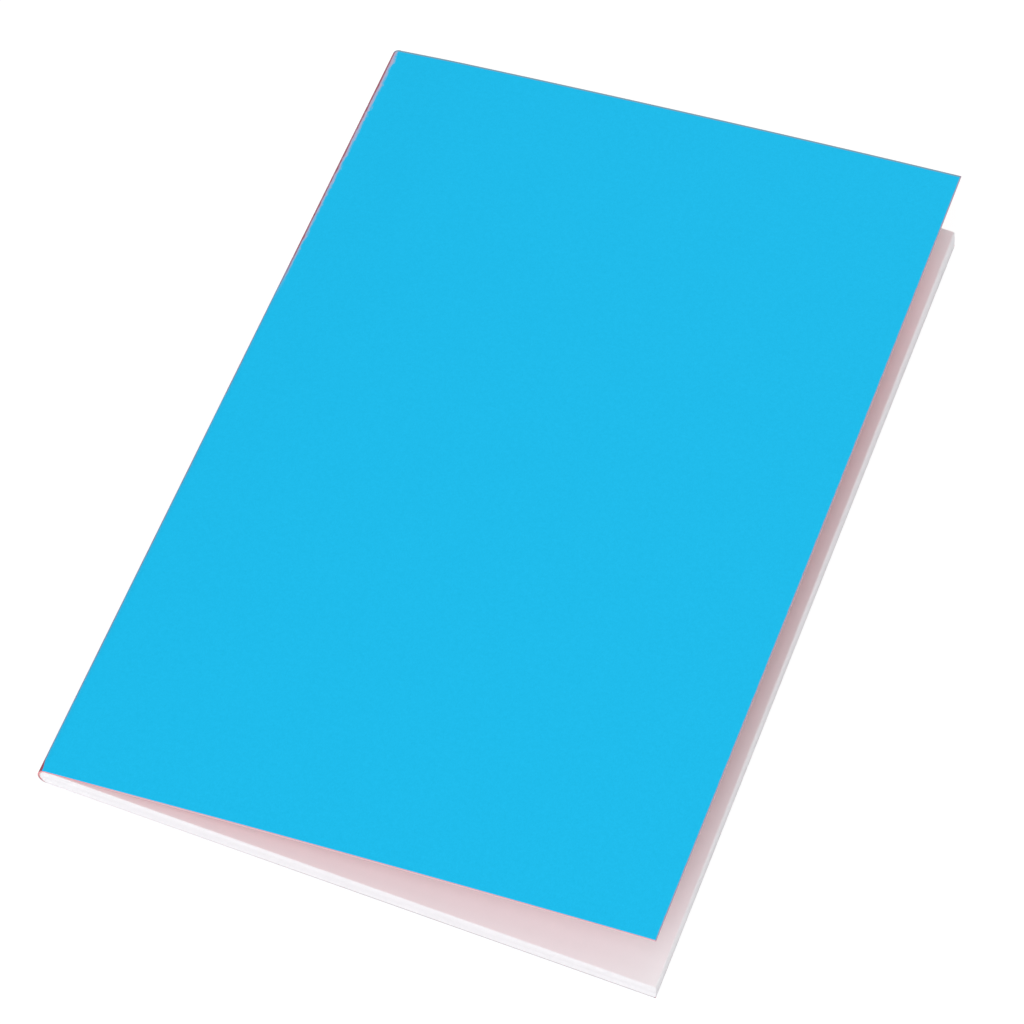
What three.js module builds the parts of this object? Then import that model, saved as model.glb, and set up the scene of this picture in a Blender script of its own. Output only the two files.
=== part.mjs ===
// Soft-cover notebook: a stack of blank leaves glued at a lightly rounded back, and one sheet
// of card folded round it as front cover, spine and back cover. The front cover stands ajar.
//
// X runs from the spine to the fore-edge, Y along the spine, Z up from the table.
// The origin is on the underside of the back cover. Lengths are in millimetres.
import * as THREE from "three";

// Book, trimmed flush on three sides
const WIDTH = 140;
const HEIGHT = 210;

// Paper and card
const LEAVES = 40;
const LEAF_THICKNESS = 0.1;
const CARD_THICKNESS = 0.3;

// Rounded back: how far the spine bulges, and the glue between leaves and card at its middle
const SPINE_DEPTH = 2.2;
const GLUE_THICKNESS = 0.25;

// Air where the book opens at the middle of the stack
const OPENING_GAP = 0.03;

// How far the fore-edge of the leaves slopes back towards the spine, from back cover to front
const FORE_EDGE_SLOPE = 0.6;

// Front cover: how far it stands open, the bow of the card, and the air in its crease
const OPEN_ANGLE = 8.65;
const COVER_BOW = 0.6;
const CREASE_GAP = 0.05;

// Steps along a curve: the spine takes twice its number for each half, the bow its own
const SPINE_STEPS = 8;
const BOW_STEPS = 16;

// What follows from those sizes
const HALF_STACK = (LEAVES / 2) * LEAF_THICKNESS;
const HALF_BLOCK = HALF_STACK + OPENING_GAP / 2;
const HALF_THICKNESS = HALF_BLOCK + CARD_THICKNESS;
const MIDDLE_Z = HALF_THICKNESS;
const SPINE_X = -WIDTH / 2;
const FORE_EDGE_X = WIDTH / 2;
const CREASE_X = SPINE_X + SPINE_DEPTH;
const CARD_INNER_DEPTH = SPINE_DEPTH - CARD_THICKNESS;
const STACK_BACK_DEPTH = CARD_INNER_DEPTH - GLUE_THICKNESS;

const card = new THREE.MeshStandardMaterial({ color: 0x23bfef, roughness: 0.7, metalness: 0 });
const paper = new THREE.MeshStandardMaterial({ color: 0xf4f1f2, roughness: 0.9, metalness: 0 });
const glue = new THREE.MeshStandardMaterial({ color: 0xece6d6, roughness: 0.4, metalness: 0 });

// A section drawn in X and Z, drawn out along the whole height of the book
function alongSpine(name, shape, steps, material) {
  const geometry = new THREE.ExtrudeGeometry(shape, {
    depth: HEIGHT,
    bevelEnabled: false,
    curveSegments: steps,
  });
  geometry.rotateX(Math.PI / 2);
  geometry.translate(0, HEIGHT / 2, 0);
  const mesh = new THREE.Mesh(geometry, material);
  mesh.name = name;
  return mesh;
}

// A quarter of the oval round the spine: outward from its middle to the crease, or back
function spineArc(shape, depth, height, side, outward) {
  const middle = Math.PI;
  const crease = side > 0 ? Math.PI / 2 : (3 * Math.PI) / 2;
  const clockwise = outward === side > 0;
  const from = outward ? middle : crease;
  const to = outward ? crease : middle;
  shape.absellipse(CREASE_X, MIDDLE_Z, depth, height, from, to, clockwise, 0);
}

// Where a leaf starts at this height: the trimmed and rounded back of the stack
function backOfStack(z) {
  const height = (z - MIDDLE_Z) / HALF_BLOCK;
  return CREASE_X - STACK_BACK_DEPTH * Math.sqrt(Math.max(0, 1 - height * height));
}

// Where a leaf ends at this height: the sloping fore-edge of the stack
function frontOfStack(z) {
  return FORE_EDGE_X - (FORE_EDGE_SLOPE * (z - CARD_THICKNESS)) / (2 * HALF_BLOCK);
}

// Height of a leaf's underside: leaves count down from the front cover
function leafUnderside(number) {
  const fromBack = LEAVES - number;
  const lift = number <= LEAVES / 2 ? OPENING_GAP : 0;
  return CARD_THICKNESS + fromBack * LEAF_THICKNESS + lift;
}

// Leaf: flat, its two ends cut to the rounded back and the sloping fore-edge
function leafSection(number) {
  const under = leafUnderside(number);
  const top = under + LEAF_THICKNESS;
  const shape = new THREE.Shape();
  shape.moveTo(backOfStack(under), under);
  shape.lineTo(frontOfStack(under), under);
  shape.lineTo(frontOfStack(top), top);
  shape.lineTo(backOfStack(top), top);
  shape.closePath();
  return shape;
}

// Glue on the half of the back towards one cover: side is 1 for the front and -1 for the back
function glueSection(side) {
  const middle = LEAVES / 2;
  const shape = new THREE.Shape();
  shape.moveTo(CREASE_X - CARD_INNER_DEPTH, MIDDLE_Z);
  spineArc(shape, CARD_INNER_DEPTH, HALF_BLOCK, side, true);
  for (let step = 1; step < middle; step += 1) {
    const z = MIDDLE_Z + side * (HALF_BLOCK - step * LEAF_THICKNESS);
    shape.lineTo(backOfStack(z), z);
  }
  const lastZ = MIDDLE_Z + side * (HALF_BLOCK - middle * LEAF_THICKNESS);
  shape.lineTo(backOfStack(lastZ), lastZ);
  shape.lineTo(backOfStack(lastZ), MIDDLE_Z);
  shape.closePath();
  return shape;
}

// Card over the front half of the spine, from its middle to the front cover's crease
function spineSection() {
  const shape = new THREE.Shape();
  shape.moveTo(SPINE_X, MIDDLE_Z);
  spineArc(shape, SPINE_DEPTH, HALF_THICKNESS, 1, true);
  shape.lineTo(CREASE_X, MIDDLE_Z + HALF_BLOCK);
  spineArc(shape, CARD_INNER_DEPTH, HALF_BLOCK, 1, false);
  shape.closePath();
  return shape;
}

// Back cover: the flat panel and, in the same card, the back half of the spine
function backCoverSection() {
  const shape = new THREE.Shape();
  shape.moveTo(SPINE_X, MIDDLE_Z);
  spineArc(shape, SPINE_DEPTH, HALF_THICKNESS, -1, true);
  shape.lineTo(FORE_EDGE_X, 0);
  shape.lineTo(FORE_EDGE_X, CARD_THICKNESS);
  shape.lineTo(CREASE_X, CARD_THICKNESS);
  spineArc(shape, CARD_INNER_DEPTH, HALF_BLOCK, -1, false);
  shape.closePath();
  return shape;
}

// Front cover seen from its crease, bowed a little as card dries
function frontCoverSection() {
  const start = CREASE_GAP;
  const end = FORE_EDGE_X - CREASE_X;
  const middle = (start + end) / 2;
  const control = 2 * COVER_BOW;
  const shape = new THREE.Shape();
  shape.moveTo(start, -CARD_THICKNESS);
  shape.quadraticCurveTo(middle, control - CARD_THICKNESS, end, -CARD_THICKNESS);
  shape.lineTo(end, 0);
  shape.quadraticCurveTo(middle, control, start, 0);
  shape.closePath();
  return shape;
}

const notebook = new THREE.Group();

// Card cover. The front cover turns on the crease at the top of the spine.
notebook.add(alongSpine("back_cover", backCoverSection(), SPINE_STEPS, card));
notebook.add(alongSpine("spine_front", spineSection(), SPINE_STEPS, card));

const crease = new THREE.Group();
crease.position.set(CREASE_X, 0, MIDDLE_Z + HALF_THICKNESS);
crease.rotation.y = -THREE.MathUtils.degToRad(OPEN_ANGLE);
crease.add(alongSpine("front_cover", frontCoverSection(), BOW_STEPS, card));
notebook.add(crease);

// Glue on the back of the stack
notebook.add(alongSpine("glue_front", glueSection(1), SPINE_STEPS, glue));
notebook.add(alongSpine("glue_back", glueSection(-1), SPINE_STEPS, glue));

// Leaves, from the first under the front cover to the last on the back cover
for (let number = 1; number <= LEAVES; number += 1) {
  const name = "leaf_" + String(number).padStart(2, "0");
  notebook.add(alongSpine(name, leafSection(number), 1, paper));
}

export default notebook;
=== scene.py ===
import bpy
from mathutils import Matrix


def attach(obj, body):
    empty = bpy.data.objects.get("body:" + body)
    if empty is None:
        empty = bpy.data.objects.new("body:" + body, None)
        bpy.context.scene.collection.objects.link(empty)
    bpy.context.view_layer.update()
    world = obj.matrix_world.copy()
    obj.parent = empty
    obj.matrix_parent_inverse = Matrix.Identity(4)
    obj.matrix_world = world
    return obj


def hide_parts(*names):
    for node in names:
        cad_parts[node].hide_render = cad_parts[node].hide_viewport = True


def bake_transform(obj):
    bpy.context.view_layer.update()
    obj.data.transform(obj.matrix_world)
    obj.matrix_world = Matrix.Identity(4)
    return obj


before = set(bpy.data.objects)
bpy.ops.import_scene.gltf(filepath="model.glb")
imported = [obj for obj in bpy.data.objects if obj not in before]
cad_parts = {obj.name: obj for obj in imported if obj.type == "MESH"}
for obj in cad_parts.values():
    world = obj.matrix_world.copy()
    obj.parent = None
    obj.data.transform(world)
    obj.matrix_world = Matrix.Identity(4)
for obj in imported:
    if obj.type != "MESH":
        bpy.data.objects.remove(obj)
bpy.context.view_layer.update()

import math

import bpy
import numpy as np
from mathutils import Matrix, Vector

# Soft-cover notebook: blank leaves glued at a rounded back, one card folded round them.
# The front cover stands ajar. Lengths are in millimetres, apart from those of the table and
# the lamps, which are in metres.
MM = 0.001

# Sizes of the notebook, as in its solids
WIDTH = 140.0
HEIGHT = 210.0
LEAVES = 40
LEAF = 0.1
CARD = 0.3
SPINE_DEPTH = 2.2
GLUE = 0.25
OPENING_GAP = 0.03
OPEN_ANGLE = math.radians(8.65)

# What follows from those sizes
HALF_BLOCK = LEAVES / 2 * LEAF + OPENING_GAP / 2
MIDDLE_Z = HALF_BLOCK + CARD
SPINE_X = -WIDTH / 2
FORE_EDGE_X = WIDTH / 2
CREASE_X = SPINE_X + SPINE_DEPTH
CREASE_Z = 2 * MIDDLE_Z
COVER_REACH = FORE_EDGE_X - CREASE_X

# The card hugs the glued back a little closer than the solids do
SPINE_BULGE = 2.0
SPINE_INSIDE = SPINE_BULGE - CARD

# Where one card piece meets the next on the spine, as an angle round its oval
SEAM = math.radians(155)

# The card bends within these bands when the book opens
MIDDLE_BEND = 0.12

# Close steps of the mesh reach this many times as far as the bend at the middle of the spine
BEND_MARGIN = 1.6

# How much shorter than the book some pieces are, and the angle that the glue keeps off the
# two creases
COVER_SHORT = 0.4
BACK_SHORT = 0.03
GLUE_SHORT = 0.15
GLUE_SETBACK = 0.05

# Front cover: bowed more towards the head of the book, and twisted.
# It springs up beside the crease at the head, sags at the tail, and its free edge swells out.
BOW_TAIL, BOW_HEAD = 0.6, 1.0
COVER_TWIST = math.radians(0.25)
CREASE_SPRING = 1.2
SPRING_FALL = 1.6
TAIL_SAG = 0.7
EDGE_SWELL = 0.28

# A slow wave in the cover, highest at its free edge, and a ripple with a share of its height.
# The other numbers are angles: for each millimetre up, across the whole cover, and at the start.
WAVE_HEIGHT = 0.08
WAVE_UP, WAVE_UP_START = 0.031, 0.6
WAVE_ACROSS, WAVE_ACROSS_START = 5.1, 0.3
RIPPLE_SHARE = 0.3
RIPPLE_UP, RIPPLE_ACROSS = 0.083, 6.0

# The knife drew the head of the book out a little beside the spine
HEAD_DRAW = 0.77

# This far off the crease, and over this length, the draw fades out and the spring sets in
BESIDE_CREASE = 1
CREASE_FADE = 20

# Air between the leaves, from the middle of the page to the fore-edge
AIR_TAIL, AIR_HEAD = 0.05, 0.9
AIR_FROM_X, AIR_FULL_X = -30, 70

# How far the fore-edge of the leaves slopes back, and what share of that lies near the top
SLOPE_TAIL, SLOPE_HEAD = 0.42, 0.75
SLOPE_NEAR_TOP = 0.4

# Leaves: rounding of a cut corner, trim that differs from leaf to leaf, and the first one's own
CORNER = 0.2
TRIM_STRAY = 0.06
FIRST_LEAF_TRIM = 0.1

# Hair of air round a leaf and round the glue, so that no two faces lie in one plane
LEAF_TOP_AIR = 0.005
LEAF_UNDER_AIR = 0.001
LEAF_BACK_AIR = 0.004
GLUE_AIR = 0.002

# Seed for the air and the trim of the leaves, and how evenly the air is shared out
SEED = 7
AIR_EVENNESS = 0.6

# Rows of points along the spine, the last ones this close to the cut ends
COVER_ROWS = 48
BACK_ROWS = 40
GLUE_ROWS = 60
END_ROW = 0.15

# Points from the seam to the front crease, across the bend at the middle of the spine, over
# the back cover, and on an arc whose length is measured
SPINE_POINTS = 16
MIDDLE_POINTS = 15
BACK_POINTS = 40
ARC_POINTS = 60

# Stretches of the front cover from its crease, with the number of points on each
COVER_STRETCHES = ((0.1, 1.6, 11), (2.0, 8.0, 13), (10.0, COVER_REACH - COVER_SHORT, 54))

# Points of a leaf as shares of its width and height, close together at the cut edges
LEAF_ACROSS = np.concatenate([[0, 0.002], np.linspace(0.02, 0.98, 22), [0.996, 0.999, 1]])
LEAF_UP = np.concatenate([[0, 0.0004, 0.001], np.linspace(0.02, 0.98, 26), [0.999, 0.9996, 1]])

# Two faces that meet at more than this angle have a sharp edge between them
SHARP_ANGLE = math.radians(40)

# Camera: where it looks from and its tilt in degrees, how far away it is and the nearest that
# it sees, the point of the table that it looks at, and its lens
CAMERA_AZIMUTH = 15.469
CAMERA_ELEVATION = 56.858
CAMERA_ROLL = 5.699
CAMERA_AWAY = 1068.205
CAMERA_AIM = (0.296, -2.826, 0)
CAMERA_NEAREST = 10
SENSOR_WIDTH = 36
FOCAL_LENGTH_PX = 4810.923
PICTURE_WIDTH_PX = 1024

# Table, in metres: half its side, and how far it lies below the book
TABLE_HALF_SIDE = 3.0
TABLE_BELOW = 0.0003

# Light of the room on the notebook, and how bright the camera sees the room and the table
ROOM_LIGHT = 0.41
ROOM_SEEN = 1.0
TABLE_GLOW = 0.88


# Camera

def towards(azimuth, elevation):
    """Direction from the notebook to this side and height, in degrees."""
    azimuth, elevation = math.radians(azimuth), math.radians(elevation)
    return Vector((math.sin(azimuth) * math.cos(elevation),
                   -math.cos(azimuth) * math.cos(elevation),
                   math.sin(elevation)))


def photograph_camera():
    """The camera of the photograph, from a fit to the corners and edges of the book."""
    back = towards(CAMERA_AZIMUTH, CAMERA_ELEVATION)
    level = Vector((0, 0, 1)).cross(back).normalized()
    over = back.cross(level)
    roll = math.radians(CAMERA_ROLL)
    right = level * math.cos(roll) + over * math.sin(roll)
    up = back.cross(right)
    place = Vector(CAMERA_AIM) * MM + back * CAMERA_AWAY * MM

    data = bpy.data.cameras.new("camera")
    data.sensor_width = SENSOR_WIDTH
    data.lens = SENSOR_WIDTH * FOCAL_LENGTH_PX / PICTURE_WIDTH_PX
    data.clip_start = CAMERA_NEAREST * MM
    camera = bpy.data.objects.new("camera", data)
    camera.matrix_world = Matrix((
        (right.x, up.x, back.x, place.x),
        (right.y, up.y, back.y, place.y),
        (right.z, up.z, back.z, place.z),
        (0, 0, 0, 1)))
    bpy.context.scene.collection.objects.link(camera)
    bpy.context.scene.camera = camera


# Shader sums

class Tone:
    """A socket that holds a number or a colour. Sums with it add the nodes that work them out."""

    def __init__(self, nodes, socket):
        self.nodes = nodes
        self.socket = socket

    def reckon(self, operation, *values, clamp=False):
        return self.nodes.node("ShaderNodeMath", {"operation": operation, "use_clamp": clamp},
                               dict(enumerate(values)))

    def __add__(self, other):
        return self.reckon("ADD", self, other)

    def __radd__(self, other):
        return self.reckon("ADD", other, self)

    def __sub__(self, other):
        return self.reckon("SUBTRACT", self, other)

    def __rsub__(self, other):
        return self.reckon("SUBTRACT", other, self)

    def __mul__(self, other):
        return self.reckon("MULTIPLY", self, other)

    def __rmul__(self, other):
        return self.reckon("MULTIPLY", other, self)

    def clamped(self):
        return self.reckon("ADD", self, 0.0, clamp=True)

    def ramp(self, start, end):
        """0 at start and 1 at end, smooth between them; start may be the higher of the two."""
        return self.nodes.node("ShaderNodeMapRange", {"interpolation_type": "SMOOTHSTEP"},
                               {0: self, 1: start, 2: end, 3: 0.0, 4: 1.0})


class Nodes:
    """The nodes of a material or of the world."""

    def __init__(self, tree):
        self.tree = tree

    def set(self, entry, value):
        if isinstance(value, Tone):
            self.tree.links.new(value.socket, entry)
        else:
            entry.default_value = value

    def node(self, kind, settings, sockets, out=0):
        made = self.tree.nodes.new(kind)
        for name, value in settings.items():
            setattr(made, name, value)
        for name, value in sockets.items():
            self.set(made.inputs[name], value)
        return Tone(self, made.outputs[out])

    def seen_and_unseen(self, seen, unseen):
        """One shader where the camera looks straight at it, and another for light that bounces."""
        direct = self.node("ShaderNodeLightPath", {}, {})
        return self.node("ShaderNodeMixShader", {}, {0: direct, 1: unseen, 2: seen})

    def show(self, output, shader):
        self.set(self.tree.nodes[output].inputs["Surface"], shader)


class Finish(Nodes):
    """A material, and the nodes that make it."""

    def __init__(self, name, roughness, specular):
        self.material = bpy.data.materials.new(name)
        self.material.use_nodes = True
        super().__init__(self.material.node_tree)
        self.shader = self.tree.nodes["Principled BSDF"]
        self.shader.inputs["Specular IOR Level"].default_value = specular
        self.rough(roughness)

    def mix(self, share, first, second):
        return self.node("ShaderNodeMix", {"data_type": "RGBA"},
                         {0: share, 6: first, 7: second}, out=2)

    def place(self, name):
        """The place on the flat, unbent piece, in millimetres, kept in its mesh."""
        return self.node("ShaderNodeAttribute", {"attribute_name": name}, {}, out=1)

    def parts(self, vector):
        split = self.node("ShaderNodeSeparateXYZ", {}, {0: vector})
        return [Tone(self, out) for out in split.socket.node.outputs]

    def noise(self, place, scale, detail, rough, fine=None):
        """Noise over a piece. Fine says how much finer it is along, up and in depth."""
        if fine:
            place = self.node("ShaderNodeVectorMath", {"operation": "MULTIPLY"},
                              {0: place, 1: fine})
        return self.node("ShaderNodeTexNoise", {},
                         {"Vector": place, "Scale": scale, "Detail": detail, "Roughness": rough})

    def bump(self, height, distance, strength):
        """Relief in the surface. The distance is in millimetres."""
        normal = self.node("ShaderNodeBump", {},
                           {"Height": height, "Distance": distance * MM, "Strength": strength})
        self.set(self.shader.inputs["Normal"], normal)

    def colour(self, value):
        self.set(self.shader.inputs["Base Color"], value)

    def rough(self, value):
        self.set(self.shader.inputs["Roughness"], value)


# Colours

WHITE = (1, 1, 1, 1)

# Outside of the card, the painted highlight and painted shade on its spine, and its cut rims
BLUE = (0.002, 0.508, 0.866, 1)
BLUE_LIGHT = (0.008, 0.566, 0.935, 1)
SPINE_HIGHLIGHT = (0.560, 0.480, 0.640, 1)
SPINE_SHADE_ROSE = (0.380, 0.050, 0.075, 1)
TAIL_SHADE_ROSE = (0.400, 0.045, 0.065, 1)
CROWN_SHADE = (0.430, 0.140, 0.180, 1)
RIM_NEAR = (0.860, 0.420, 0.470, 1)
RIM_FAR = (0.200, 0.350, 0.450, 1)
RIM_FORE_EDGE_SHADED = (0.500, 0.260, 0.300, 1)

# Inside of the card, and a paler rose for it that stands in for light reaching the leaves
ROSE_INSIDE = (0.880, 0.155, 0.215, 1)
ROSE_INSIDE_PALE = (0.900, 0.240, 0.310, 1)
ROSE_PALE_FOR_LIGHT = (0.905, 0.510, 0.565, 1)

# Cut edge of the card: front cover, fold, back cover, greyer towards its fore-edge, with painted
# shade on its end face
ROSE_CORE = (0.900, 0.270, 0.310, 1)
ROSE_PALE = (0.780, 0.530, 0.580, 1)
FOLD_CORE = (0.46, 0.24, 0.26, 1)
BACK_CORE = (0.88, 0.84, 0.87, 1)
BACK_CORE_FAR = (0.54, 0.51, 0.53, 1)
BACK_END_SHADE = (0.25, 0.245, 0.25, 1)
PLY_PALE = (0.90, 0.80, 0.82, 1)

# Paper, its cut edges, and the glue
PAPER = (0.935, 0.922, 0.938, 1)
PAPER_SHADE = (0.890, 0.876, 0.893, 1)
PAGE_EDGE = (0.964, 0.955, 0.982, 1)
PAGE_EDGE_SHADE = (0.898, 0.887, 0.918, 1)
GLUE_CLEAR = (0.70, 0.64, 0.50, 1)
GLUE_PALE = (0.85, 0.81, 0.70, 1)

# Table
TABLE_WHITE = (0.86, 0.86, 0.86, 1)
TABLE_SHADOWED = (0.19, 0.19, 0.19, 1)

# Places of the painted shade and highlight on the spine, and of the paler inside of the card that
# stands in for light, as the two ends of a ramp. Along is round the card from the crown of the
# spine towards the front cover, and up is along the spine from its middle to the head.
WIDE_LINE_UP = (27, 45)
TAPER_UP = (95, 35)
BEHIND_CROWN = (-1.0, 0.5)
SPINE_HIGHLIGHT_ALONG = (3.2, 2.2)
CROWN_ALONG = (1.95, 1.05)
SHADE_LINE_ALONG = (2.25, 1.6)
TAIL_SHADE_UP = (-100.0, -101.4)
TAIL_SHADE_WIDENS_UP = (-100.6, -104.6)
TAIL_SHADE_RIM = (-0.1, 0.15)
PALE_FOR_LIGHT_ALONG = (5, 137)
PALE_FOR_LIGHT_UP = (40, -105)

# How much narrower the band of painted highlight is where it tapers, and how far round the spine
# the painted shade at its tail reaches, with what it gains as it widens
TAPER = 0.4
TAIL_SHADE_REACH, TAIL_SHADE_WIDENS = 1.4, 0.95

# Part of a noise that turns into specks
SPECKS = (0.31, 0.45)

# Places where the cut edge of the card changes colour, as the two ends of a ramp along it
PALER_ALONG = (4, 26)
FOLD_ALONG = (0.8, -0.8)
BACK_ALONG = (-2.2, -4.0)
BACK_DARKER_ALONG = (-3, -90)
BACK_END_ALONG = (-140.75, -140.9)

# Height over which the cut edges of the leaves get lighter: painted light on the upper leaves
TOP_LIGHT_Z = (1.9, 3.3)

# How far from a rim of the card its rim colour begins, and where it is whole: a hair of the core at
# the near rim, a darker line at the far rim, and at the fore-edge the core darkened with painted
# shade. The near rim gets narrower towards the spine.
NEAR_RIM, NEAR_RIM_WHOLE = 0.24, 0.1
FAR_RIM, FAR_RIM_WHOLE = 0.55, 0.25
FORE_RIM, FORE_RIM_WHOLE = 0.34, 0.06
NEAR_RIM_NARROWER = 0.12
NARROWER_ALONG = (60, 5)


# Finishes

def spine_shade_and_highlight(finish, blue, spot, ragged, flecks):
    """Painted shade and highlight on the spine: a dark line of painted shade at its crown, wider at
    the head, where a pale band of painted highlight runs beside it.

    Returns the colour and the share of the card under the line of painted shade.
    """
    along, up, _ = finish.parts(spot)
    head = (up + ragged * 16).ramp(*WIDE_LINE_UP)
    drift = finish.noise(spot, scale=0.06, detail=3.0, rough=0.6, fine=(0.0, 1.0, 0.0)) - 0.5
    behind = (along + flecks * 4.0 + drift * 3.0).ramp(*BEHIND_CROWN)

    # Painted highlight: a pale lavender band beside the crown towards the head, where the fold
    # catches the light
    taper = TAPER * up.ramp(*TAPER_UP)
    highlight_band = (along + ragged * 1.4 + flecks * 2.0 + taper).ramp(*SPINE_HIGHLIGHT_ALONG) * behind * head
    blue = finish.mix(highlight_band, blue, SPINE_HIGHLIGHT)

    # Painted shade: a dark line at the crown of the spine, fading out towards the head, where the
    # spine turns away from the light
    crown_shade = (along + ragged * 0.9 + flecks * 1.2 + drift).ramp(*CROWN_ALONG) * behind
    blue = finish.mix(crown_shade * (0.9 - 0.9 * head), blue, CROWN_SHADE)

    # Painted shade: a speckled dark rose line at the crown towards the head, on the shaded side of
    # the spine
    shade_line = (along + ragged * 0.8 + flecks * 1.1 + drift * 0.8).ramp(*SHADE_LINE_ALONG) * behind
    specks = finish.noise(spot, scale=1.3, detail=4.0, rough=0.7, fine=(1.0, 0.3, 1.0))
    blue = finish.mix(shade_line * head * specks.ramp(*SPECKS) * 0.92, blue, SPINE_SHADE_ROSE)

    # Painted shade at the tail end of the spine: a dark rose sliver, shaped like a chip in the print
    reach = TAIL_SHADE_REACH + TAIL_SHADE_WIDENS * up.ramp(*TAIL_SHADE_WIDENS_UP)
    tail_shade = (reach - along + flecks * 0.3).ramp(*TAIL_SHADE_RIM) * up.ramp(*TAIL_SHADE_UP) * behind
    return finish.mix(tail_shade * 0.92, blue, TAIL_SHADE_ROSE), shade_line * head


def cut_rims(finish, blue, spot, ragged):
    """Rims along the cut edges of the card: a hair of the core at the near rim, a darker line at the
    far rim, and at the free edge the core darkened with painted shade.
    """
    along, up, _ = finish.parts(spot)
    end_up = HEIGHT / 2
    end_along = round_spine(math.pi / 2) + COVER_REACH - COVER_SHORT
    near = ragged * 0.2 - up - NEAR_RIM_NARROWER * along.ramp(*NARROWER_ALONG)
    far = up + ragged * 0.14
    fore = along + ragged * 0.4
    blue = finish.mix(near.ramp(end_up - NEAR_RIM, end_up - NEAR_RIM_WHOLE), blue, RIM_NEAR)
    blue = finish.mix(far.ramp(end_up - FAR_RIM, end_up - FAR_RIM_WHOLE), blue, RIM_FAR)
    # Painted shade: the core along the free edge is darkened as for its shaded cut face
    fore_rim_shaded = fore.ramp(end_along - FORE_RIM, end_along - FORE_RIM_WHOLE)
    return finish.mix(fore_rim_shaded * 0.85, blue, RIM_FORE_EDGE_SHADED)


def card_outside():
    """Matte blue card with a fibre grain and faint clouds, with painted shade and highlight along
    the spine.
    """
    finish = Finish("card_outside_blue", roughness=0.6, specular=0.18)
    spot = finish.place("card_place")
    cloud = finish.noise(spot, scale=0.09, detail=4.0, rough=0.6)
    mottle = finish.noise(spot, scale=0.8, detail=4.0, rough=0.7)
    fibre = finish.noise(spot, scale=3.2, detail=5.0, rough=0.65, fine=(1.0, 0.55, 1.0))
    ragged = finish.noise(spot, scale=0.35, detail=6.0, rough=0.7, fine=(0.0, 1.0, 0.0)) - 0.5
    flecks = finish.noise(spot, scale=1.6, detail=5.0, rough=0.75, fine=(1.0, 0.25, 1.0)) - 0.5

    tone = (cloud - 0.5) * 0.2 + (mottle - 0.5) * 1.2 + (fibre - 0.5) * 2.2 + 0.5
    blue = finish.mix(tone.clamped(), BLUE, BLUE_LIGHT)
    blue, spine_shade_line = spine_shade_and_highlight(finish, blue, spot, ragged, flecks)
    finish.colour(cut_rims(finish, blue, spot, ragged))
    finish.rough(0.55 + fibre * 0.16)
    finish.bump(fibre - 0.5 * spine_shade_line, distance=0.02, strength=0.5)
    return finish.material


def card_inside():
    """Rose inside of the card, painted paler towards its tail and fore-edge so that it throws paler
    light onto the leaves there.
    """
    finish = Finish("card_inside_rose", roughness=0.75, specular=0.25)
    spot = finish.place("card_place")
    along, up, _ = finish.parts(spot)
    fibre = finish.noise(spot, scale=2.4, detail=5.0, rough=0.65, fine=(1.0, 0.5, 1.0))
    rose = finish.mix(fibre, ROSE_INSIDE, ROSE_INSIDE_PALE)
    # Painted light: the inside gets paler towards the tail and fore-edge, so that more light reaches
    # the leaves there
    pale_for_light = along.ramp(*PALE_FOR_LIGHT_ALONG) * up.ramp(*PALE_FOR_LIGHT_UP)
    finish.colour(finish.mix(pale_for_light, rose, ROSE_PALE_FOR_LIGHT))
    finish.bump(fibre, distance=0.02, strength=0.5)
    return finish.material


def card_cut_edge():
    """The rose core of the card, strong at the folded spine and paler towards the fore-edge, with
    painted shade on the end face of the back cover.
    """
    finish = Finish("card_cut_edge_rose", roughness=0.85, specular=0.2)
    spot = finish.place("card_place")
    along = finish.parts(spot)[0]
    ply = finish.noise(spot, scale=2.0, detail=3.0, rough=0.6, fine=(0.6, 0.6, 9.0))
    front = finish.mix(along.ramp(*PALER_ALONG), ROSE_CORE, ROSE_PALE)
    fold = finish.mix(along.ramp(*FOLD_ALONG), front, FOLD_CORE)
    back = finish.mix(along.ramp(*BACK_DARKER_ALONG), BACK_CORE, BACK_CORE_FAR)
    edge = finish.mix(along.ramp(*BACK_ALONG), fold, back)
    edge = finish.mix(ply * 0.25, edge, PLY_PALE)
    # Painted shade on the end face of the back cover at the fore-edge, for the gap under the leaves
    finish.colour(finish.mix(along.ramp(*BACK_END_ALONG), edge, BACK_END_SHADE))
    finish.bump(ply, distance=0.02, strength=0.5)
    return finish.material


def page_paper():
    """Blank white paper with a faint pulp and fibre."""
    finish = Finish("page_paper", roughness=0.85, specular=0.2)
    spot = finish.place("leaf_place")
    pulp = finish.noise(spot, scale=0.35, detail=5.0, rough=0.6)
    fibre = finish.noise(spot, scale=4.5, detail=4.0, rough=0.6, fine=(1.0, 0.45, 1.0))
    finish.colour(finish.mix(0.6 * pulp + 0.4 * fibre, PAPER_SHADE, PAPER))
    finish.bump(fibre, distance=0.012, strength=0.5)
    return finish.material


def page_edge():
    """Cut edges of the leaves: bundles of them a little lighter or darker than the next, and painted
    light that makes the upper leaves lighter.
    """
    finish = Finish("page_cut_edge", roughness=0.9, specular=0.2)
    spot = finish.place("leaf_place")
    bundle = finish.noise(spot, scale=1.7, detail=3.0, rough=0.6, fine=(0.012, 0.012, 1.0))
    line = finish.noise(spot, scale=1.0, detail=2.0, rough=0.7, fine=(0.04, 0.04, 5.0))
    height = finish.parts(spot)[2]
    # Painted light: the cut edges of the upper leaves are lighter
    top_light = 0.35 + 0.45 * height.ramp(*TOP_LIGHT_Z)
    tone = (bundle - 0.5) * 1.6 + (line - 0.5) * 0.8 + top_light
    finish.colour(finish.mix(tone.clamped(), PAGE_EDGE_SHADE, PAGE_EDGE))
    finish.bump(line, distance=0.03, strength=0.5)
    return finish.material


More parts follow.
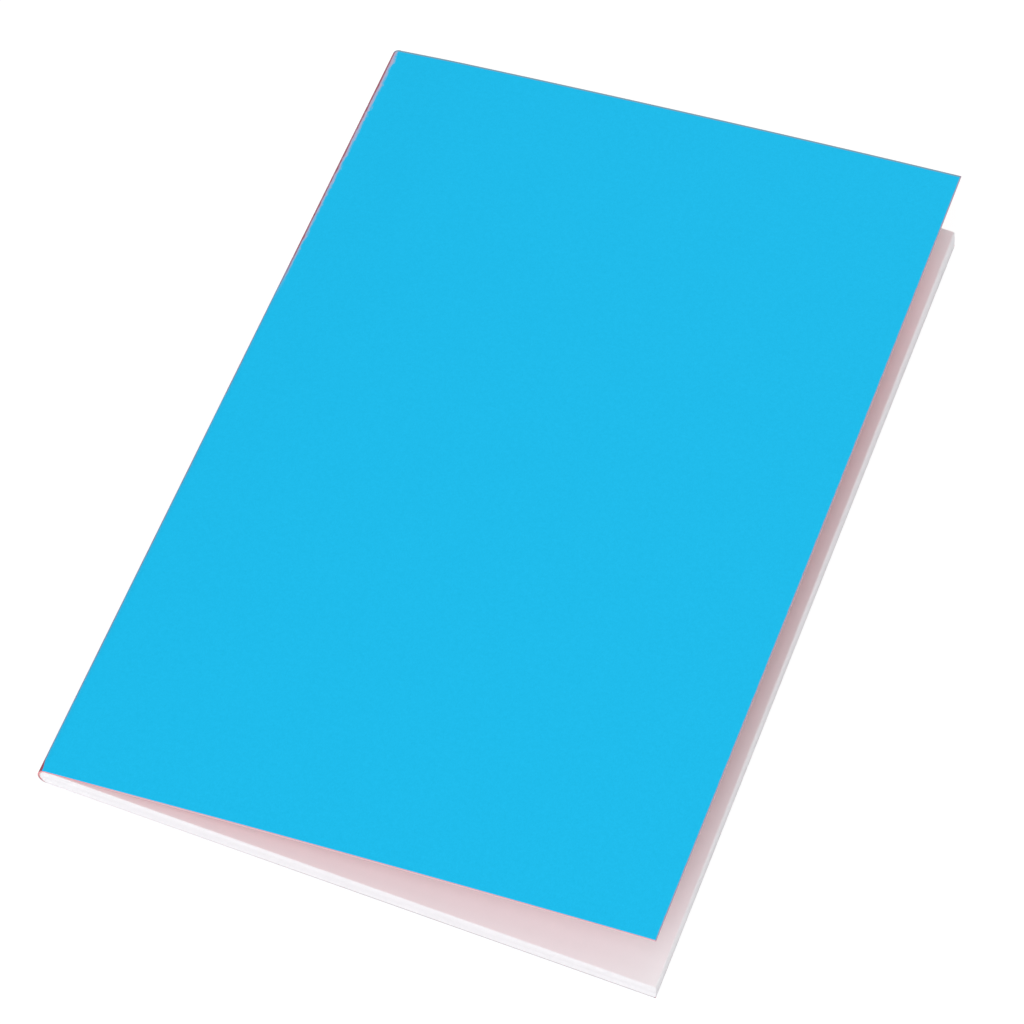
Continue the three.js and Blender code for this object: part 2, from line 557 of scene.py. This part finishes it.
def spine_glue():
    """Dried binding glue, half clear and a little lumpy."""
    finish = Finish("spine_glue", roughness=0.4, specular=0.45)
    lump = finish.noise(finish.place("card_place"), scale=0.9, detail=3.0, rough=0.5)
    finish.colour(finish.mix(lump, GLUE_CLEAR, GLUE_PALE))
    finish.bump(lump, distance=0.08, strength=0.6)
    return finish.material


# Meshes

def made_mesh(name, points, places, place_name, faces, slots, materials):
    """A mesh from points in millimetres, with the place of each point on the flat piece."""
    data = bpy.data.meshes.new(name)
    data.from_pydata((points * MM).tolist(), [], faces)
    for material in materials:
        data.materials.append(material)
    data.polygons.foreach_set("material_index", slots)
    data.polygons.foreach_set("use_smooth", [True] * len(faces))
    kept = data.attributes.new(place_name, "FLOAT_VECTOR", "POINT")
    kept.data.foreach_set("vector", places.astype(np.float32).ravel())
    data.validate()
    data.update()
    data.set_sharp_from_angle(angle=SHARP_ANGLE)
    piece = bpy.data.objects.new(name, data)
    bpy.context.scene.collection.objects.link(piece)
    return piece


def sheet_faces(across, rows, upper, lower, edge):
    """Faces of a closed sheet, with the slot of each: its upper and lower side and its cut edges.

    The points are rows of the upper side, with so many across, then the same of the lower side.
    """
    layer = across * rows
    last_row = layer - across
    faces, slots = [], []

    def add(slot, *face):
        faces.append(face)
        slots.append(slot)

    for row in range(rows - 1):
        for step in range(across - 1):
            a = row * across + step
            b = a + layer
            add(upper, a, a + 1, a + across + 1, a + across)
            add(lower, b, b + across, b + across + 1, b + 1)
    for a in range(across - 1):
        b = a + last_row
        add(edge, a + 1, a, a + layer, a + layer + 1)
        add(edge, b, b + 1, b + layer + 1, b + layer)
    for a in range(0, last_row, across):
        b = a + across - 1
        add(edge, a, a + across, a + across + layer, a + layer)
        add(edge, b + across, b, b + layer, b + across + layer)
    return faces, slots


def strip_card(name, outer, inner, along, rows, materials, wave=None):
    """Card between two lines of a section, drawn along the spine: outside, inside, cut edges."""
    points, places = [], []
    for line, depth in ((outer, 0.0), (inner, CARD)):
        for y in rows:
            moved = line + wave(along, y) if wave else line
            ys = y + head_draw(line[:, 0], y)
            points.append(np.column_stack([moved[:, 0], ys, moved[:, 1]]))
            places.append(np.column_stack([along, np.full_like(along, y),
                                           np.full_like(along, depth)]))
    faces, slots = sheet_faces(len(along), len(rows), upper=0, lower=1, edge=2)
    return made_mesh(name, np.vstack(points), np.vstack(places), "card_place",
                     faces, slots, materials)


def oval(depth, height, angles):
    """Points of the oval round the spine, as x and z."""
    return np.column_stack([CREASE_X + depth * np.cos(angles), MIDDLE_Z + height * np.sin(angles)])


def length_along(line):
    return np.concatenate([[0], np.cumsum(np.linalg.norm(np.diff(line, axis=0), axis=1))])


def round_spine(angle):
    """Length of card from the crown of the spine round to this angle."""
    return length_along(oval(SPINE_BULGE, MIDDLE_Z, np.linspace(math.pi, angle, ARC_POINTS)))[-1]


def close_rows(count):
    """Places along the spine, with a last pair close together at each end."""
    end = HEIGHT / 2
    return np.concatenate([[-end], np.linspace(END_ROW - end, end - END_ROW, count), [end]])


def eased(share):
    share = np.clip(share, 0, 1)
    return share * share * (3 - 2 * share)


def head_share(y):
    """0 at the tail of the book and 1 at its head."""
    return (y + HEIGHT / 2) / HEIGHT


def tail_to_head(at_tail, at_head, y):
    """A size that changes evenly from the tail of the book to its head."""
    return at_tail + (at_head - at_tail) * head_share(y)


def head_draw(x, y):
    """How far the head runs out past square at this place."""
    return HEAD_DRAW * head_share(y) ** 4 * (1 - eased((x - CREASE_X - BESIDE_CREASE) / CREASE_FADE))


def cover_wave(reach, y):
    """How the front cover strays from a flat panel, outward and up."""
    share = np.clip(reach / COVER_REACH, 0, 1)
    head = head_share(y)
    from_middle = 2 * head - 1  # from -1 at the tail to 1 at the head
    bow = 4 * tail_to_head(BOW_TAIL, BOW_HEAD, y) * share * (1 - share)
    twist = reach * math.tan(COVER_TWIST) * from_middle
    spring = CREASE_SPRING * head * eased((reach - BESIDE_CREASE) / CREASE_FADE)
    spring = spring * (1 - share) ** SPRING_FALL
    sag = TAIL_SAG * share * (1 - head) ** 2
    across_wave = np.sin(share * WAVE_ACROSS + WAVE_ACROSS_START)
    wave = np.sin(y * WAVE_UP + WAVE_UP_START) * across_wave
    ripple = RIPPLE_SHARE * np.sin(y * RIPPLE_UP + share * RIPPLE_ACROSS)
    rise = bow + twist + spring - sag + WAVE_HEIGHT * share * (wave + ripple)
    outward = EDGE_SWELL * share * (1 - from_middle ** 2)
    return np.column_stack([outward, rise])


# Card and glue

def front_card(materials):
    """Front half of the spine and the front cover, one card that bends at the crease."""
    turns = np.linspace(SEAM, math.pi / 2, SPINE_POINTS)
    reach = np.concatenate([np.linspace(*stretch) for stretch in COVER_STRETCHES])
    cos, sin = math.cos(OPEN_ANGLE), math.sin(OPEN_ANGLE)

    def panel(depth):
        return np.column_stack([CREASE_X + reach * cos + depth * sin,
                                CREASE_Z + reach * sin - depth * cos])

    outer = np.vstack([oval(SPINE_BULGE, MIDDLE_Z, turns), panel(0.0)])
    inner = np.vstack([oval(SPINE_INSIDE, HALF_BLOCK, turns), panel(CARD)])
    along = round_spine(SEAM) + length_along(outer)
    crease = round_spine(math.pi / 2)

    def wave(places, y):
        return cover_wave(np.clip(places - crease, 0, None), y)

    piece = strip_card("front_cover_card", outer, inner, along, close_rows(COVER_ROWS),
                       materials, wave)
    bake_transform(piece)
    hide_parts("front_cover", "spine_front")


def bend_at_middle(piece):
    """Bakes the placement of the piece into its mesh; the bend along the middle of the spine, where
    the book opens, is not set up here.
    """
    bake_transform(piece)


def turns_round_middle(start, end, before, after):
    """Angles round the spine from start to end, close together where its middle bends."""
    near = math.copysign(math.asin(BEND_MARGIN * MIDDLE_BEND / MIDDLE_Z), end - start)
    return np.concatenate([np.linspace(start, math.pi - near, before)[:-1],
                           np.linspace(math.pi - near, math.pi + near, MIDDLE_POINTS),
                           np.linspace(math.pi + near, end, after)[1:]])


def back_card(materials):
    """Back half of the spine and the back cover, one card."""
    turns = turns_round_middle(SEAM, 3 * math.pi / 2, before=8, after=20)
    reach = np.linspace(CREASE_X, FORE_EDGE_X - BACK_SHORT, BACK_POINTS)[1:]
    outer = np.vstack([oval(SPINE_BULGE, MIDDLE_Z, turns),
                       np.column_stack([reach, np.zeros_like(reach)])])
    inner = np.vstack([oval(SPINE_INSIDE, HALF_BLOCK, turns),
                       np.column_stack([reach, np.full_like(reach, CARD)])])
    along = round_spine(SEAM) - length_along(outer)
    piece = strip_card("back_cover_card", outer[::-1], inner[::-1], along[::-1],
                       close_rows(BACK_ROWS), materials)
    bend_at_middle(piece)
    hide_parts("back_cover")


def glue_film(material):
    """The glue between the back of the leaves and the card."""
    start, end = 3 * math.pi / 2 - GLUE_SETBACK, math.pi / 2 + GLUE_SETBACK
    turns = turns_round_middle(start, end, before=22, after=22)
    outer = oval(SPINE_INSIDE - GLUE_AIR, HALF_BLOCK, turns)
    inner = oval(SPINE_INSIDE - GLUE, HALF_BLOCK, turns)
    reach = HEIGHT / 2 - GLUE_SHORT
    rows = np.linspace(-reach, reach, GLUE_ROWS)
    piece = strip_card("spine_glue_film", outer, inner, length_along(outer), rows, [material] * 3)
    bend_at_middle(piece)
    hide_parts("glue_front", "glue_back")


# Leaves

def back_of_stack(z):
    """Where the leaves start at this height: the rounded back of the stack."""
    height = np.clip((z - MIDDLE_Z) / HALF_BLOCK, -1, 1)
    return CREASE_X - (SPINE_INSIDE - GLUE) * np.sqrt(1 - height * height)


def front_of_stack(z, y):
    """Where the leaves end: they slope back towards the front cover, more so near the top."""
    height = np.clip((z - CARD) / (2 * HALF_BLOCK), 0, 1)
    slope = (1 - SLOPE_NEAR_TOP) * height + SLOPE_NEAR_TOP * height ** 4
    return FORE_EDGE_X - tail_to_head(SLOPE_TAIL, SLOPE_HEAD, y) * slope


def stack_lift(x, y):
    """How far air between the leaves lifts the top one."""
    share = eased((x - AIR_FROM_X) / (AIR_FULL_X - AIR_FROM_X))
    return share * tail_to_head(AIR_TAIL, AIR_HEAD, y)


def corner_cut(gap):
    """How much shorter a leaf is this near to its head or tail, where its corner is rounded."""
    if gap >= CORNER:
        return 0
    return CORNER - math.sqrt(CORNER ** 2 - (CORNER - gap) ** 2)


def leaf(number, chance, air_below, materials):
    """One leaf of paper. The first lies under the front cover, the last on the back cover."""
    in_front_half = number <= LEAVES // 2
    under = CARD + (LEAVES - number) * LEAF + (OPENING_GAP if in_front_half else 0)
    trims = chance.uniform(0, TRIM_STRAY, 3)
    if number == 1:
        trims = trims + FIRST_LEAF_TRIM
    fore_trim, tail_trim, head_trim = trims
    near, far = -HEIGHT / 2 + tail_trim, HEIGHT / 2 - head_trim
    points, places = [], []
    for z in (under + LEAF - LEAF_TOP_AIR, under + LEAF_UNDER_AIR):
        for y in near + (far - near) * LEAF_UP:
            start = back_of_stack(z) + LEAF_BACK_AIR
            end = front_of_stack(z, y) - fore_trim - corner_cut(max(0, min(y - near, far - y)))
            xs = start + (end - start) * LEAF_ACROSS
            lift = stack_lift(xs, y) * air_below
            points.append(np.column_stack([xs, y + head_draw(xs, y), z + lift]))
            places.append(np.column_stack([xs, np.full_like(xs, y), np.full_like(xs, z)]))

    name = f"leaf_{number:02d}"
    faces, slots = sheet_faces(len(LEAF_ACROSS), len(LEAF_UP), upper=0, lower=0, edge=1)
    piece = made_mesh(name + "_paper", np.vstack(points), np.vstack(places), "leaf_place",
                      faces, slots, materials)
    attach(piece, "front_half" if in_front_half else "back_half")
    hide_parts(name)


def all_leaves(materials):
    """The stack of leaves, with air between them that adds up unevenly towards the top."""
    chance = np.random.default_rng(SEED)
    airs = np.cumsum(chance.gamma(AIR_EVENNESS, 1.0, LEAVES))
    for number in range(1, LEAVES + 1):
        leaf(number, chance, airs[LEAVES - number] / airs[-1], materials)


# Table and light

def table_top():
    """Plain pale table. The camera sees it as an even white with a soft shadow."""
    far = TABLE_HALF_SIDE
    corners = [(-far, -far), (far, -far), (far, far), (-far, far)]
    data = bpy.data.meshes.new("table_top")
    data.from_pydata([(x, y, -TABLE_BELOW) for x, y in corners], [], [(0, 1, 2, 3)])
    table = bpy.data.objects.new("table_top", data)
    bpy.context.scene.collection.objects.link(table)

    white = Finish("table_white", roughness=0.9, specular=0.0)
    white.colour(TABLE_WHITE)
    glow = white.node("ShaderNodeEmission", {}, {"Color": WHITE, "Strength": TABLE_GLOW})
    matt = white.node("ShaderNodeBsdfDiffuse", {}, {"Color": TABLE_SHADOWED})
    seen = white.node("ShaderNodeAddShader", {}, {0: glow, 1: matt})
    plain = Tone(white, white.shader.outputs[0])
    white.show("Material Output", white.seen_and_unseen(seen, plain))
    data.materials.append(white.material)


def soft_lamp(name, azimuth, elevation, away, size, power):
    """A wide lamp that looks at the notebook from this side and height.

    Angles are in degrees, its distance and size in metres and its power in watts.
    """
    data = bpy.data.lights.new(name, "AREA")
    data.shape = "RECTANGLE"
    data.size, data.size_y = size
    data.energy = power
    lamp = bpy.data.objects.new(name, data)
    back = towards(azimuth, elevation)
    lamp.location = back * away
    lamp.rotation_mode = "QUATERNION"
    lamp.rotation_quaternion = back.to_track_quat("Z", "Y")
    bpy.context.scene.collection.objects.link(lamp)


def studio_light():
    """Pale room, seen as white, with a high window in front and three weaker lamps."""
    world = bpy.data.worlds.new("studio")
    bpy.context.scene.world = world
    world.use_nodes = True
    room = Nodes(world.node_tree)
    lit = room.node("ShaderNodeBackground", {}, {"Color": WHITE, "Strength": ROOM_LIGHT})
    seen = room.node("ShaderNodeBackground", {}, {"Color": WHITE, "Strength": ROOM_SEEN})
    room.show("World Output", room.seen_and_unseen(seen, lit))

    soft_lamp("window", azimuth=-5, elevation=43, away=4.0, size=(1.6, 4.2), power=100)
    soft_lamp("overhead", azimuth=0, elevation=88, away=2.5, size=(1.0, 1.0), power=5.5)
    soft_lamp("far_wall", azimuth=178, elevation=26, away=2.0, size=(1.2, 0.7), power=6.3)
    soft_lamp("reflector", azimuth=95, elevation=6, away=1.5, size=(1.0, 0.4), power=4.4)


# Making it all

photograph_camera()
card = [card_outside(), card_inside(), card_cut_edge()]
front_card(card)
back_card(card)
glue_film(spine_glue())
all_leaves([page_paper(), page_edge()])
table_top()
studio_light()

bpy.context.scene.view_settings.view_transform = "Standard"
